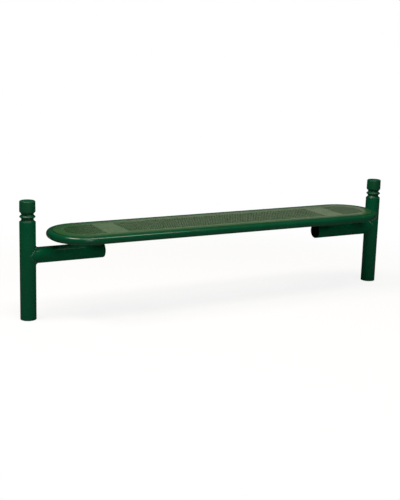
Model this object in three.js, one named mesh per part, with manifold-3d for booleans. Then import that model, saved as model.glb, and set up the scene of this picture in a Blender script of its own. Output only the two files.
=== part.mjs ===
// Backless park bench: a long stadium-shaped seat carried on two round arms,
// each welded to a round post with a turned finial.
// Millimetres, +Z up. X runs along the bench, +Y is the side of the posts.
// The origin is on the ground below the middle of the seat.

import * as THREE from 'three';
import { mergeVertices } from 'three/addons/utils/BufferGeometryUtils.js';
import Module from 'manifold-3d';

const wasm = await Module();
wasm.setup();

const INCH = 25.4;
const GAP = 0.3;                        // between pieces that touch

// Posts and finials
const POST_SPACING = 78 * INCH;         // axis to axis
const POST_DIAMETER = 3 * INCH;
const POST_WALL = 3.2;
const POST_TOP = 470;                   // top end of the post tube
const POST_EDGE = 1.6;                  // chamfer on the tube's top edge
const POST_OFFSET = 77;                 // posts' line behind the seat's centre line
const FINIAL_TOP = 568;
const CAP_BOTTOM = 516;
const CAP_RADIUS = 37;
const CAP_DRAFT = 0.5;
const CAP_EDGE = 5;                     // radius of the cap's top edge
const CAP_LIP = { radius: 1.5, height: 2.5 };
const NECK_RADIUS = 27.8;
const LOWER_NECK = 481.5;
const UPPER_NECK = 504.5;
const NECK_FLAT = 1.6;
const BEAD_RADIUS = 37.2;
const BEAD_FLAT = 4;                    // height of the bead's rim
const BEAD_EDGE = { radius: 1, height: 2 };
const SPIGOT_LENGTH = 42;
const SPIGOT_CLEARANCE = 0.4;
const SPIGOT_LEAD = { radius: 2, height: 4 };
const FINIAL_SCREW_HEIGHT = 448;
const FINIAL_SCREW_DIAMETER = 6;
const FINIAL_SCREW_LENGTH = 14;
const FINIAL_SCREW_SPARE = 1;           // hole past the screw's tip
const FINIAL_SCREW_HEAD = { radius: 5.5, height: 3.2, edge: 1.4 };

// Arms
const ARM_DIAMETER = 3 * INCH;
const ARM_WALL = 3.2;
const ARM_HEIGHT = 306.5;               // arm axis above the ground
const ARM_REACH = 372;                  // post axis to the end of the tube
const PLUG_HEAD = 5;
const PLUG_HEAD_INSET = 0.2;            // head inside the tube's outer surface
const PLUG_EDGE = 1.8;
const PLUG_STEM = 24;
const PLUG_WALL = 3;
const PLUG_CLEARANCE = 0.5;

// Seat rim and panel
const SEAT_LENGTH = 72 * INCH;
const SEAT_WIDTH = 364;
const RIM_DIAMETER = 1.5 * INCH;
const RIM_WALL = 2.6;
const RIM_HEIGHT = 409.5;               // rim axis above the ground
const BEND_RADIUS = 6 * INCH;           // on the rim's axis
const PANEL_THICKNESS = 3;
const PANEL_SINK = 1;                   // panel top below the rim's top
const PANEL_CLEARANCE = 0.4;

// Members under the panel
const CHANNEL_POSITION = 24 * INCH;     // channel centre from the middle of the bench
const CHANNEL_WIDTH = 3.5 * INCH;
const CHANNEL_WALL = 3.4;
const STIFFENER_THICKNESS = 6;
const STIFFENER_DEPTH = 28;

// Supports between the arms and the seat
const PLATE_THICKNESS = 6.35;
const PLATE_LENGTH = 120;               // along the arm
const PLATE_WIDTH = 140;
const PLATE_OUTER_END = 688;            // from the middle of the bench
const PLATE_CORNER = 8;
const STUB_SIZE = 2 * INCH;
const STUB_WALL = 3.2;
const STUB_CORNER = 5;
const STUB_POSITION = 654;              // from the middle of the bench
const BOLT_SPACING_X = 46;
const BOLT_SPACING_Y = 4 * INCH;
const BOLT_INSET = 20;                  // first bolt row from the plate's inner end
const BOLT_DIAMETER = 10;
const BOLT_HOLE = 11;
const BOLT_HEAD = { flats: 16, height: 6.4 };
const NUT = { flats: 16, height: 8 };
const NUT_HOLE = BOLT_DIAMETER + 2 * GAP;
const WASHER = { outer: 20, hole: 10.8, thickness: 2 };
const BOLT_THREAD_SHOWN = 3;            // thread standing past the nut

// Facets
const TUBE_SIDES = 32;
const RIM_SIDES = 16;
const BEND_STEPS = 9;
const SMALL_SIDES = 12;

// Worked-out sizes
const POST_RADIUS = POST_DIAMETER / 2;
const POST_X = POST_SPACING / 2;
const ARM_RADIUS = ARM_DIAMETER / 2;
const RIM_RADIUS = RIM_DIAMETER / 2;
const RIM_BOTTOM = RIM_HEIGHT - RIM_RADIUS;
const PANEL_TOP = RIM_HEIGHT + RIM_RADIUS - PANEL_SINK;
const PANEL_BOTTOM = PANEL_TOP - PANEL_THICKNESS;
const PANEL_DROP = PANEL_BOTTOM - RIM_HEIGHT;
const PANEL_INSET =                     // rim's outer edge to the panel's edge
  RIM_RADIUS + Math.sqrt(RIM_RADIUS ** 2 - PANEL_DROP ** 2) + PANEL_CLEARANCE;
const CHANNEL_DEPTH = PANEL_BOTTOM - RIM_BOTTOM - GAP;
const PLATE_TOP = RIM_BOTTOM - GAP;
const PLATE_BOTTOM = PLATE_TOP - PLATE_THICKNESS;
const PLATE_CENTRE = PLATE_OUTER_END - PLATE_LENGTH / 2;
const BOLT_FIRST_X = PLATE_OUTER_END - PLATE_LENGTH + BOLT_INSET;
const BOLT_HEAD_TOP = PLATE_BOTTOM - WASHER.thickness - 2 * GAP;
const NUT_BOTTOM = RIM_BOTTOM + CHANNEL_WALL + GAP;
const BOLT_TOP = NUT_BOTTOM + NUT.height + BOLT_THREAD_SHOWN;

const POWDER_COAT = { color: 0x123c28, roughness: 0.32, metalness: 0.0 };
const PANEL_COAT = { color: 0x1b4a31, roughness: 0.36, metalness: 0.0 };
const STEEL = { color: 0x9a9c9b, roughness: 0.35, metalness: 1.0 };
const BLACK_PLASTIC = { color: 0x101110, roughness: 0.55, metalness: 0.0 };

const bench = new THREE.Group();

function addMesh(name, geometry, finish) {
  const mesh = new THREE.Mesh(geometry, new THREE.MeshStandardMaterial(finish));
  mesh.name = name;
  bench.add(mesh);
}

// ---- shapes -------------------------------------------------------------

function circle(radius) {
  return new THREE.Path().absarc(0, 0, radius, 0, 2 * Math.PI, false);
}

function disc(radius) {
  return new THREE.Shape().absarc(0, 0, radius, 0, 2 * Math.PI, false);
}

function ring(outerRadius, innerRadius) {
  const shape = disc(outerRadius);
  shape.holes.push(circle(innerRadius));
  return shape;
}

function roundedRectangle(width, height, corner, shape = new THREE.Shape()) {
  const x = width / 2;
  const y = height / 2;
  shape.moveTo(-x + corner, -y);
  shape.lineTo(x - corner, -y);
  shape.absarc(x - corner, -y + corner, corner, -Math.PI / 2, 0, false);
  shape.lineTo(x, y - corner);
  shape.absarc(x - corner, y - corner, corner, 0, Math.PI / 2, false);
  shape.lineTo(-x + corner, y);
  shape.absarc(-x + corner, y - corner, corner, Math.PI / 2, Math.PI, false);
  shape.lineTo(-x, -y + corner);
  shape.absarc(-x + corner, -y + corner, corner, Math.PI, 1.5 * Math.PI, false);
  shape.closePath();
  return shape;
}

function hexagon(flats) {
  const radius = flats / Math.sqrt(3);
  const corners = [];
  for (let i = 0; i < 6; i += 1) {
    const angle = (i * Math.PI) / 3;
    corners.push(new THREE.Vector2(radius * Math.cos(angle), radius * Math.sin(angle)));
  }
  return new THREE.Shape(corners);
}

// A prism of the shape, from z = low to z = high.
function prism(shape, low, high, sides = SMALL_SIDES) {
  const geometry = new THREE.ExtrudeGeometry(shape, {
    depth: high - low,
    bevelEnabled: false,
    curveSegments: sides / 2,
  });
  return geometry.translate(0, 0, low);
}

// A solid of revolution about Z from [radius, z] points that start and end on the axis.
function turned(profile, sides) {
  const points = profile.map(([radius, z]) => new THREE.Vector2(radius, z));
  return new THREE.LatheGeometry(points, sides).rotateX(Math.PI / 2);
}

// Puts a shape's Z axis along +X or -X.
function alongX(geometry, side) {
  return geometry.rotateY((side * Math.PI) / 2);
}

// Puts a shape's Z axis along +Y.
function alongY(geometry) {
  return geometry.rotateX(-Math.PI / 2);
}

// ---- booleans -----------------------------------------------------------

function toSolid(geometry) {
  const bare = new THREE.BufferGeometry();
  bare.setAttribute('position', geometry.getAttribute('position'));
  if (geometry.index) bare.setIndex(geometry.index);
  const merged = mergeVertices(bare, 1e-3);
  const corners = [];
  const index = merged.index.array;
  for (let i = 0; i < index.length; i += 3) {
    const [a, b, c] = [index[i], index[i + 1], index[i + 2]];
    if (a !== b && b !== c && c !== a) corners.push(a, b, c);
  }
  return new wasm.Manifold(new wasm.Mesh({
    numProp: 3,
    vertProperties: new Float32Array(merged.getAttribute('position').array),
    triVerts: new Uint32Array(corners),
  }));
}

function toGeometry(solid) {
  const mesh = solid.getMesh();
  const geometry = new THREE.BufferGeometry();
  geometry.setAttribute('position', new THREE.BufferAttribute(mesh.vertProperties, 3));
  geometry.setIndex(new THREE.BufferAttribute(mesh.triVerts, 1));
  geometry.computeVertexNormals();
  return geometry;
}

function cut(geometry, tools) {
  let solid = toSolid(geometry);
  for (const tool of tools) solid = solid.subtract(toSolid(tool));
  return toGeometry(solid);
}

// ---- posts and finials --------------------------------------------------

// A hole for the finial's screw, from y = start out through the back of the post.
function screwHole(x, start) {
  const radius = FINIAL_SCREW_DIAMETER / 2 + GAP;
  const hole = alongY(prism(disc(radius), 0, POST_DIAMETER));
  return hole.translate(x, start, FINIAL_SCREW_HEIGHT);
}

function addPost(name, side) {
  const x = side * POST_X;
  const inner = POST_RADIUS - POST_WALL;
  const profile = [
    [inner, 0],
    [POST_RADIUS, 0],
    [POST_RADIUS, POST_TOP - POST_EDGE],
    [POST_RADIUS - POST_EDGE, POST_TOP],
    [inner, POST_TOP],
    [inner, 0],
  ];
  const tube = turned(profile, TUBE_SIDES).translate(x, POST_OFFSET, 0);
  addMesh(`${name}_post`, cut(tube, [screwHole(x, POST_OFFSET)]), POWDER_COAT);
}

function addFinial(name, side) {
  const x = side * POST_X;
  const spigot = POST_RADIUS - POST_WALL - SPIGOT_CLEARANCE;
  const bead = (LOWER_NECK + UPPER_NECK) / 2;
  const profile = [
    [0, POST_TOP - SPIGOT_LENGTH],
    [spigot - SPIGOT_LEAD.radius, POST_TOP - SPIGOT_LENGTH],
    [spigot, POST_TOP - SPIGOT_LENGTH + SPIGOT_LEAD.height],
    [spigot, POST_TOP + GAP],
    [NECK_RADIUS, LOWER_NECK - NECK_FLAT / 2],
    [NECK_RADIUS, LOWER_NECK + NECK_FLAT / 2],
    [BEAD_RADIUS - BEAD_EDGE.radius, bead - BEAD_FLAT / 2 - BEAD_EDGE.height],
    [BEAD_RADIUS, bead - BEAD_FLAT / 2],
    [BEAD_RADIUS, bead + BEAD_FLAT / 2],
    [BEAD_RADIUS - BEAD_EDGE.radius, bead + BEAD_FLAT / 2 + BEAD_EDGE.height],
    [NECK_RADIUS, UPPER_NECK - NECK_FLAT / 2],
    [NECK_RADIUS, UPPER_NECK + NECK_FLAT / 2],
    [CAP_RADIUS + CAP_DRAFT - CAP_LIP.radius, CAP_BOTTOM],
    [CAP_RADIUS + CAP_DRAFT, CAP_BOTTOM + CAP_LIP.height],
    [CAP_RADIUS, FINIAL_TOP - CAP_EDGE],
  ];
  for (const angle of [30, 60, 90]) {
    const turn = THREE.MathUtils.degToRad(angle);
    profile.push([
      CAP_RADIUS - CAP_EDGE * (1 - Math.cos(turn)),
      FINIAL_TOP - CAP_EDGE * (1 - Math.sin(turn)),
    ]);
  }
  profile.push([0, FINIAL_TOP]);
  const casting = turned(profile, TUBE_SIDES).translate(x, POST_OFFSET, 0);
  const holeBottom = POST_OFFSET + POST_RADIUS - FINIAL_SCREW_LENGTH - FINIAL_SCREW_SPARE;
  addMesh(`${name}_finial`, cut(casting, [screwHole(x, holeBottom)]), POWDER_COAT);
}

// A domed screw through the back of the post into the finial's spigot.
function addFinialScrew(name, side) {
  const shank = FINIAL_SCREW_DIAMETER / 2;
  const head = FINIAL_SCREW_HEAD;
  const profile = [
    [0, -FINIAL_SCREW_LENGTH],
    [shank, -FINIAL_SCREW_LENGTH],
    [shank, GAP],
    [head.radius, GAP],
    [head.radius, head.height - head.edge],
    [head.radius - head.edge, head.height],
    [0, head.height],
  ];
  const screw = alongY(turned(profile, SMALL_SIDES));
  screw.translate(side * POST_X, POST_OFFSET + POST_RADIUS, FINIAL_SCREW_HEIGHT);
  addMesh(`${name}_finial_screw`, screw, STEEL);
}

// ---- arms ---------------------------------------------------------------

// A tube from the post's axis towards the middle, coped round the post.
function addArm(name, side) {
  const x = side * POST_X;
  const tube = prism(ring(ARM_RADIUS, ARM_RADIUS - ARM_WALL), 0, ARM_REACH, TUBE_SIDES);
  alongX(tube, -side).translate(x, POST_OFFSET, ARM_HEIGHT);
  const low = ARM_HEIGHT - 2 * ARM_RADIUS;
  const high = ARM_HEIGHT + 2 * ARM_RADIUS;
  const post = prism(disc(POST_RADIUS + GAP), low, high, TUBE_SIDES);
  post.translate(x, POST_OFFSET, 0);
  const beyond = new THREE.BoxGeometry(POST_DIAMETER, 2 * ARM_DIAMETER, 2 * ARM_DIAMETER);
  beyond.translate(x + side * POST_RADIUS, POST_OFFSET, ARM_HEIGHT);
  addMesh(`${name}_arm`, cut(tube, [post, beyond]), POWDER_COAT);
}

// A domed cap whose hollow stem pushes into the open end of the arm.
function addArmPlug(name, side) {
  const head = ARM_RADIUS - PLUG_HEAD_INSET;
  const stem = ARM_RADIUS - ARM_WALL - PLUG_CLEARANCE;
  const profile = [
    [0, -PLUG_WALL],
    [stem - PLUG_WALL, -PLUG_WALL],
    [stem - PLUG_WALL, -PLUG_STEM],
    [stem, -PLUG_STEM],
    [stem, GAP],
    [head, GAP],
    [head, PLUG_HEAD - PLUG_EDGE],
    [head - PLUG_EDGE, PLUG_HEAD - PLUG_EDGE / 3],
    [head - 2.5 * PLUG_EDGE, PLUG_HEAD],
    [0, PLUG_HEAD],
  ];
  const plug = alongX(turned(profile, TUBE_SIDES), -side);
  plug.translate(side * (POST_X - ARM_REACH), POST_OFFSET, ARM_HEIGHT);
  addMesh(`${name}_arm_plug`, plug, BLACK_PLASTIC);
}

// ---- seat rim -----------------------------------------------------------

// The axis of one rim corner: a short straight from the middle of the seat's
// end, then a quarter bend into the long side. t is shared out by length.
class CornerPath extends THREE.Curve {
  constructor(sideX, sideY) {
    super();
    this.sideX = sideX;
    this.sideY = sideY;
    this.endX = SEAT_LENGTH / 2 - RIM_RADIUS;
    this.straight = SEAT_WIDTH / 2 - RIM_RADIUS - BEND_RADIUS;
    this.bend = (BEND_RADIUS * Math.PI) / 2;
  }

  getPoint(t, target = new THREE.Vector3()) {
    const along = GAP / 2 + t * (this.straight + this.bend - GAP);
    if (along < this.straight) {
      return target.set(this.sideX * this.endX, this.sideY * along, RIM_HEIGHT);
    }
    const turn = (along - this.straight) / BEND_RADIUS;
    const x = this.endX - BEND_RADIUS * (1 - Math.cos(turn));
    const y = this.straight + BEND_RADIUS * Math.sin(turn);
    return target.set(this.sideX * x, this.sideY * y, RIM_HEIGHT);
  }
}

function addRimCorner(name, sideX, sideY) {
  const corner = new THREE.ExtrudeGeometry(ring(RIM_RADIUS, RIM_RADIUS - RIM_WALL), {
    steps: BEND_STEPS,
    extrudePath: new CornerPath(sideX, sideY),
    curveSegments: RIM_SIDES / 2,
  });
  addMesh(name, corner, POWDER_COAT);
}

function addRimRail(name, sideY) {
  const half = SEAT_LENGTH / 2 - RIM_RADIUS - BEND_RADIUS - GAP / 2;
  const rail = prism(ring(RIM_RADIUS, RIM_RADIUS - RIM_WALL), -half, half, RIM_SIDES);
  alongX(rail, 1).translate(0, sideY * (SEAT_WIDTH / 2 - RIM_RADIUS), RIM_HEIGHT);
  addMesh(name, rail, POWDER_COAT);
}

// ---- panel and the members below it -------------------------------------

function addPanel() {
  const outline = roundedRectangle(
    SEAT_LENGTH - 2 * PANEL_INSET,
    SEAT_WIDTH - 2 * PANEL_INSET,
    BEND_RADIUS + RIM_RADIUS - PANEL_INSET,
  );
  addMesh('seat_panel', prism(outline, PANEL_BOTTOM, PANEL_TOP, TUBE_SIDES / 2), PANEL_COAT);
}

// The two long rails as solid bars, a gap larger, to cope a crossing member.
function railCutters(length, x) {
  return [-1, 1].map((sideY) => {
    const bar = prism(disc(RIM_RADIUS + GAP), -length / 2, length / 2, RIM_SIDES);
    return alongX(bar, 1).translate(x, sideY * (SEAT_WIDTH / 2 - RIM_RADIUS), RIM_HEIGHT);
  });
}

function boltPositions(side) {
  const places = [];
  for (const x of [BOLT_FIRST_X, BOLT_FIRST_X + BOLT_SPACING_X]) {
    for (const y of [-BOLT_SPACING_Y / 2, BOLT_SPACING_Y / 2]) {
      places.push([side * x, POST_OFFSET + y]);
    }
  }
  return places;
}

function boltHoles(side, low, high) {
  return boltPositions(side).map(([x, y]) => (
    prism(disc(BOLT_HOLE / 2), low, high).translate(x, y, 0)
  ));
}

// A channel across the seat, open side up, its ends coped to the rails.
function addCrossChannel(name, side) {
  const half = CHANNEL_WIDTH / 2;
  const section = new THREE.Shape([
    new THREE.Vector2(-half, CHANNEL_DEPTH),
    new THREE.Vector2(-half, 0),
    new THREE.Vector2(half, 0),
    new THREE.Vector2(half, CHANNEL_DEPTH),
    new THREE.Vector2(half - CHANNEL_WALL, CHANNEL_DEPTH),
    new THREE.Vector2(half - CHANNEL_WALL, CHANNEL_WALL),
    new THREE.Vector2(-half + CHANNEL_WALL, CHANNEL_WALL),
    new THREE.Vector2(-half + CHANNEL_WALL, CHANNEL_DEPTH),
  ]);
  const reach = SEAT_WIDTH / 2 - RIM_RADIUS;
  const x = side * CHANNEL_POSITION;
  const channel = prism(section, -reach, reach).rotateX(Math.PI / 2);
  channel.translate(x, 0, RIM_BOTTOM);
  const tools = railCutters(2 * CHANNEL_WIDTH, x);
  tools.push(...boltHoles(side, RIM_BOTTOM - 1, RIM_BOTTOM + CHANNEL_WALL + 1));
  addMesh(`${name}_cross_channel`, cut(channel, tools), POWDER_COAT);
}

// A flat bar on edge across the middle of the seat.
function addStiffener() {
  const length = SEAT_WIDTH - RIM_DIAMETER;
  const bar = new THREE.BoxGeometry(STIFFENER_THICKNESS, length, STIFFENER_DEPTH);
  bar.translate(0, 0, PANEL_BOTTOM - GAP - STIFFENER_DEPTH / 2);
  addMesh('centre_stiffener', cut(bar, railCutters(CHANNEL_WIDTH, 0)), POWDER_COAT);
}

// ---- supports and their fixings -----------------------------------------

function addMountPlate(name, side) {
  const outline = roundedRectangle(PLATE_LENGTH, PLATE_WIDTH, PLATE_CORNER);
  const plate = prism(outline, PLATE_BOTTOM, PLATE_TOP);
  plate.translate(side * PLATE_CENTRE, POST_OFFSET, 0);
  const holes = boltHoles(side, PLATE_BOTTOM - 1, PLATE_TOP + 1);
  addMesh(`${name}_mount_plate`, cut(plate, holes), POWDER_COAT);
}

// A short square tube on end, coped round the top of the arm.
function addStub(name, side) {
  const outline = roundedRectangle(STUB_SIZE, STUB_SIZE, STUB_CORNER);
  const inside = STUB_SIZE - 2 * STUB_WALL;
  const bore = roundedRectangle(inside, inside, STUB_CORNER - STUB_WALL, new THREE.Path());
  outline.holes.push(bore);
  const stub = prism(outline, ARM_HEIGHT, PLATE_BOTTOM - GAP);
  stub.translate(side * STUB_POSITION, POST_OFFSET, 0);
  const arm = prism(disc(ARM_RADIUS + GAP), -STUB_SIZE, STUB_SIZE, TUBE_SIDES);
  alongX(arm, 1).translate(side * STUB_POSITION, POST_OFFSET, ARM_HEIGHT);
  addMesh(`${name}_support_stub`, cut(stub, [arm]), POWDER_COAT);
}

function addFixings(name, side) {
  boltPositions(side).forEach(([x, y], i) => {
    const head = prism(hexagon(BOLT_HEAD.flats), BOLT_HEAD_TOP - BOLT_HEAD.height, BOLT_HEAD_TOP);
    const shank = prism(disc(BOLT_DIAMETER / 2), BOLT_HEAD_TOP - 1, BOLT_TOP);
    const bolt = toGeometry(toSolid(head).add(toSolid(shank)));
    addMesh(`${name}_bolt_${i + 1}`, bolt.translate(x, y, 0), STEEL);

    const washerLow = BOLT_HEAD_TOP + GAP;
    const outline = ring(WASHER.outer / 2, WASHER.hole / 2);
    const washer = prism(outline, washerLow, washerLow + WASHER.thickness);
    addMesh(`${name}_washer_${i + 1}`, washer.translate(x, y, 0), STEEL);

    const hexRing = hexagon(NUT.flats);
    hexRing.holes.push(circle(NUT_HOLE / 2));
    const nut = prism(hexRing, NUT_BOTTOM, NUT_BOTTOM + NUT.height);
    addMesh(`${name}_weld_nut_${i + 1}`, nut.translate(x, y, 0), STEEL);
  });
}

// ---- assembly -----------------------------------------------------------

for (const [name, side] of [['left', -1], ['right', 1]]) {
  addPost(name, side);
  addFinial(name, side);
  addFinialScrew(name, side);
  addArm(name, side);
  addArmPlug(name, side);
  addStub(name, side);
  addMountPlate(name, side);
  addFixings(name, side);
  addCrossChannel(name, side);
  addRimCorner(`rim_${name}_front_bend`, side, -1);
  addRimCorner(`rim_${name}_back_bend`, side, 1);
}
addRimRail('rim_front_rail', -1);
addRimRail('rim_back_rail', 1);
addStiffener();
addPanel();

export default bench;
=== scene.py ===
"""Backless park bench: a perforated seat in a tube rim, on two arms welded to posts with turned finials.

Metres, +Z up, X along the bench, +Y the side of the posts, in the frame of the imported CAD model.
"""

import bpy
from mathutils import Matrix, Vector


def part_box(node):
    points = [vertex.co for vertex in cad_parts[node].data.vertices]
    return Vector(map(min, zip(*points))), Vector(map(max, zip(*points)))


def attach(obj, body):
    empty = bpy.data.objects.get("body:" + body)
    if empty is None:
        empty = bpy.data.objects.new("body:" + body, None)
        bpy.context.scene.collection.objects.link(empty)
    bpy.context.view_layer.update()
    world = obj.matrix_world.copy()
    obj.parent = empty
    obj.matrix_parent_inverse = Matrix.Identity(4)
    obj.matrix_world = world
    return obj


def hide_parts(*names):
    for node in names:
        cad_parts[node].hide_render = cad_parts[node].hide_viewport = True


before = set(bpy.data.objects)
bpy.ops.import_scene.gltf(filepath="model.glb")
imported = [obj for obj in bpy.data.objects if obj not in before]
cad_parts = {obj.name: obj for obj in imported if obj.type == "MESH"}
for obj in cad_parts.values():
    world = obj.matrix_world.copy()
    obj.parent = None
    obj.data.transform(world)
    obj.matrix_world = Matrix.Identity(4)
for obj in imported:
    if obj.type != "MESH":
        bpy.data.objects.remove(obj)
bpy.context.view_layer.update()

import math
from collections import Counter

import bmesh
import bpy
import numpy as np
from mathutils import Matrix, Vector
from mathutils.geometry import delaunay_2d_cdt

MM = 0.001
UP = Vector((0.0, 0.0, 1.0))
SIDES = (("left", -1.0), ("right", 1.0))

# Sizes that the CAD boxes don't give
CUT_EDGE = 0.6 * MM                     # deburred edge of a cut tube
POST_WALL = 3.2 * MM
POST_TOP_EDGE = 1.2 * MM
SPIGOT_CLEARANCE = 0.4 * MM
NECK_RADIUS = 27.8 * MM
NECK_FILLET = 1.8 * MM
NECK_HEIGHTS = (481.5 * MM, 504.5 * MM)
BEAD_INSET = 0.3 * MM                   # the finial's bead, in from the cap's radius
BEAD_ROUNDING = 3.4 * MM
CAP_BOTTOM = 516.0 * MM
CAP_LIP = 2.0 * MM
CAP_TAPER = 0.5 * MM
CAP_EDGE = 5.5 * MM
SCREW_SHANK = 3.0 * MM
SCREW_RECESS = 1.9 * MM
ARM_WALL = 3.2 * MM
PLUG_WALL = 3.0 * MM
PLUG_STEM = 24.0 * MM
PLUG_RIB = 1.0 * MM
RIM_WALL = 2.6 * MM
RIM_JOINT = 0.15 * MM                   # half the gap between the bends at the seat's ends
BEND_RADIUS = 152.4 * MM
PANEL_EDGE = 0.9 * MM
SOLID_BAND = (558.8 * MM, 660.4 * MM)   # without holes, over each cross channel
PLAIN_BORDER = 44.0 * MM                # without holes, inside the panel's edge
HOLE_PITCH = 9.525 * MM
HOLE_DIAMETER = 7.14 * MM
HOLE_SIDES = 8
ROW_RISE = HOLE_PITCH * math.sqrt(3) / 2
PLATE_EDGE = 0.9 * MM
PLATE_CORNER = 8.0 * MM
STUB_WALL = 3.2 * MM
STUB_CORNER = 5.0 * MM
COPE_GAP = 0.3 * MM                     # between a coped end and the tube that it fits
CHANNEL_WALL = 3.4 * MM
CHANNEL_BEND = 6.0 * MM                 # outside radius of the channel's bends
STIFFENER_EDGE = 0.5 * MM
BOLT_DIAMETER = 10.0 * MM
BOLT_HOLE = 11.0 * MM
THREAD_PITCH = 1.5 * MM
THREAD_DEPTH = 0.75 * MM
BOLT_TIP = 1.0 * MM
WASHER_HOLE = 10.8 * MM
WASHER_EDGE = 0.35 * MM
NUT_BORE_CHAMFER = 0.6 * MM

# Welds: the leg is how far a fillet reaches along each part
ARM_WELD_LEG = 6.0 * MM
ARM_WELD_BULGE = 1.3 * MM
WELD_SINK = 0.15 * MM                   # a fillet's toes lie this far inside the metal
STUB_WELD_LEG = 4.5 * MM
MEMBER_WELD_LEG = 4.0 * MM
PANEL_STITCH_LEG = 3.0 * MM
RAIL_STITCH_LEG = 3.2 * MM
SEAM_LEG = 2.4 * MM
PANEL_GAP = 0.4 * MM                    # round the panel, which the seam closes
JOINT_BEAD = 0.5 * MM                   # height of the bead at a butt joint of the rim
GROUND_BEAD = 0.08 * MM                 # and where it is ground flush
BEAD_HALF_WIDTH = 2.6 * MM

ROUND_SIDES = 96
RIM_SIDES = 56
SMALL_SIDES = 48
DRILL_SIDES = 32
BEND_STEPS = 40
SMOOTH_ANGLE = 32.0
WELD_SMOOTH_ANGLE = 60.0

BACKDROP_LIGHT = 1.0                    # radiance of the white that the camera sees behind the bench
HORIZON_LIGHT = 0.04                    # radiance of the room that lights the bench, low down
CEILING_LIGHT = 0.12                    # and overhead


# ---- reading the frame ----------------------------------------------------

def node_box(node):
    low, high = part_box(node)
    return Vector(low), Vector(high)


def middle(node):
    low, high = node_box(node)
    return (low + high) / 2


post_low, post_high = node_box("left_post")
POST_RADIUS = (post_high.x - post_low.x) / 2
POST_LINE = (post_high.y + post_low.y) / 2
POST_TOP = post_high.z
POST_X = -(post_high.x + post_low.x) / 2
finial_low, finial_high = node_box("left_finial")
CAP_RADIUS = (finial_high.x - finial_low.x) / 2
arm_low, arm_high = node_box("left_arm")
ARM_RADIUS = (arm_high.y - arm_low.y) / 2
ARM_HEIGHT = (arm_high.z + arm_low.z) / 2
ARM_END = -arm_high.x
PLUG_END = -node_box("left_arm_plug")[1].x
rail_low, rail_high = node_box("rim_front_rail")
RIM_RADIUS = (rail_high.z - rail_low.z) / 2
RIM_HEIGHT = (rail_high.z + rail_low.z) / 2
RIM_Y = middle("rim_back_rail").y
RIM_X = node_box("rim_right_back_bend")[1].x - RIM_RADIUS
RAIL_END = rail_high.x
panel_low, panel_high = node_box("seat_panel")
PANEL_CORNER = BEND_RADIUS - (RIM_Y - panel_high.y)
PANEL_RISE = panel_low.z - RIM_HEIGHT                           # panel's underside above the rim's axis
PANEL_REACH = math.sqrt(RIM_RADIUS ** 2 - PANEL_RISE ** 2)      # from the axis to the rim, at that height
plate_low, plate_high = node_box("left_mount_plate")
stub_low, stub_high = node_box("left_support_stub")
STUB_HALF = (stub_high.x - stub_low.x) / 2
channel_low, channel_high = node_box("left_cross_channel")


# ---- materials ------------------------------------------------------------

def new_material(name):
    material = bpy.data.materials.new(name)
    material.use_nodes = True
    tree = material.node_tree
    return material, tree, next(n for n in tree.nodes if n.type == "BSDF_PRINCIPLED")


def put(tree, value, socket):
    """Gives a socket a number or a colour, or links another socket to it."""
    if isinstance(value, bpy.types.NodeSocket):
        tree.links.new(value, socket)
    elif isinstance(value, tuple):
        socket.default_value = (*value, 1.0)
    else:
        socket.default_value = value


def noise(tree, scale, detail, stretch=(1.0, 1.0, 1.0)):
    """Noise in the object's own coordinates, which are metres in the shared frame."""
    place = tree.nodes.new("ShaderNodeTexCoord")
    mapping = tree.nodes.new("ShaderNodeMapping")
    mapping.inputs["Scale"].default_value = stretch
    texture = tree.nodes.new("ShaderNodeTexNoise")
    texture.inputs["Scale"].default_value = scale
    texture.inputs["Detail"].default_value = detail
    tree.links.new(place.outputs["Object"], mapping.inputs["Vector"])
    tree.links.new(mapping.outputs["Vector"], texture.inputs["Vector"])
    return texture.outputs["Fac"]


def ranged(tree, value, source, target, interpolation="LINEAR"):
    """Maps a value from the source range on to the target range, whose ends may be sockets."""
    node = tree.nodes.new("ShaderNodeMapRange")
    node.interpolation_type = interpolation
    tree.links.new(value, node.inputs["Value"])
    for name, end in zip(("From Min", "From Max", "To Min", "To Max"), (*source, *target)):
        put(tree, end, node.inputs[name])
    return node.outputs["Result"]


def spread(tree, value, target=(0.0, 1.0)):
    """Maps noise, which lies mostly from 0.3 to 0.7, on to the target range."""
    return ranged(tree, value, (0.3, 0.7), target)


def mixed(tree, factor, first, second):
    """A colour between two, each a colour or a socket."""
    node = tree.nodes.new("ShaderNodeMix")
    node.data_type = "RGBA"
    tree.links.new(factor, node.inputs[0])
    for colour, socket in zip((first, second), [s for s in node.inputs if s.type == "RGBA"]):
        put(tree, colour, socket)
    return next(s for s in node.outputs if s.type == "RGBA")


def bumped(tree, shader, layers):
    """Chains one bump node per (height socket, distance in metres, strength)."""
    normal = None
    for height, distance, strength in layers:
        bump = tree.nodes.new("ShaderNodeBump")
        bump.inputs["Distance"].default_value = distance
        bump.inputs["Strength"].default_value = strength
        tree.links.new(height, bump.inputs["Height"])
        if normal is not None:
            tree.links.new(normal, bump.inputs["Normal"])
        normal = bump.outputs["Normal"]
    tree.links.new(normal, shader.inputs["Normal"])


def flatness(tree):
    """1 where the surface is level, 0 where it stands upright, in the part's own frame."""
    surface = tree.nodes.new("ShaderNodeNewGeometry")
    split = tree.nodes.new("ShaderNodeSeparateXYZ")
    tree.links.new(surface.outputs["True Normal"], split.inputs[0])
    size = tree.nodes.new("ShaderNodeMath")
    size.operation = "ABSOLUTE"
    tree.links.new(split.outputs["Z"], size.inputs[0])
    return size.outputs[0]


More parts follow.
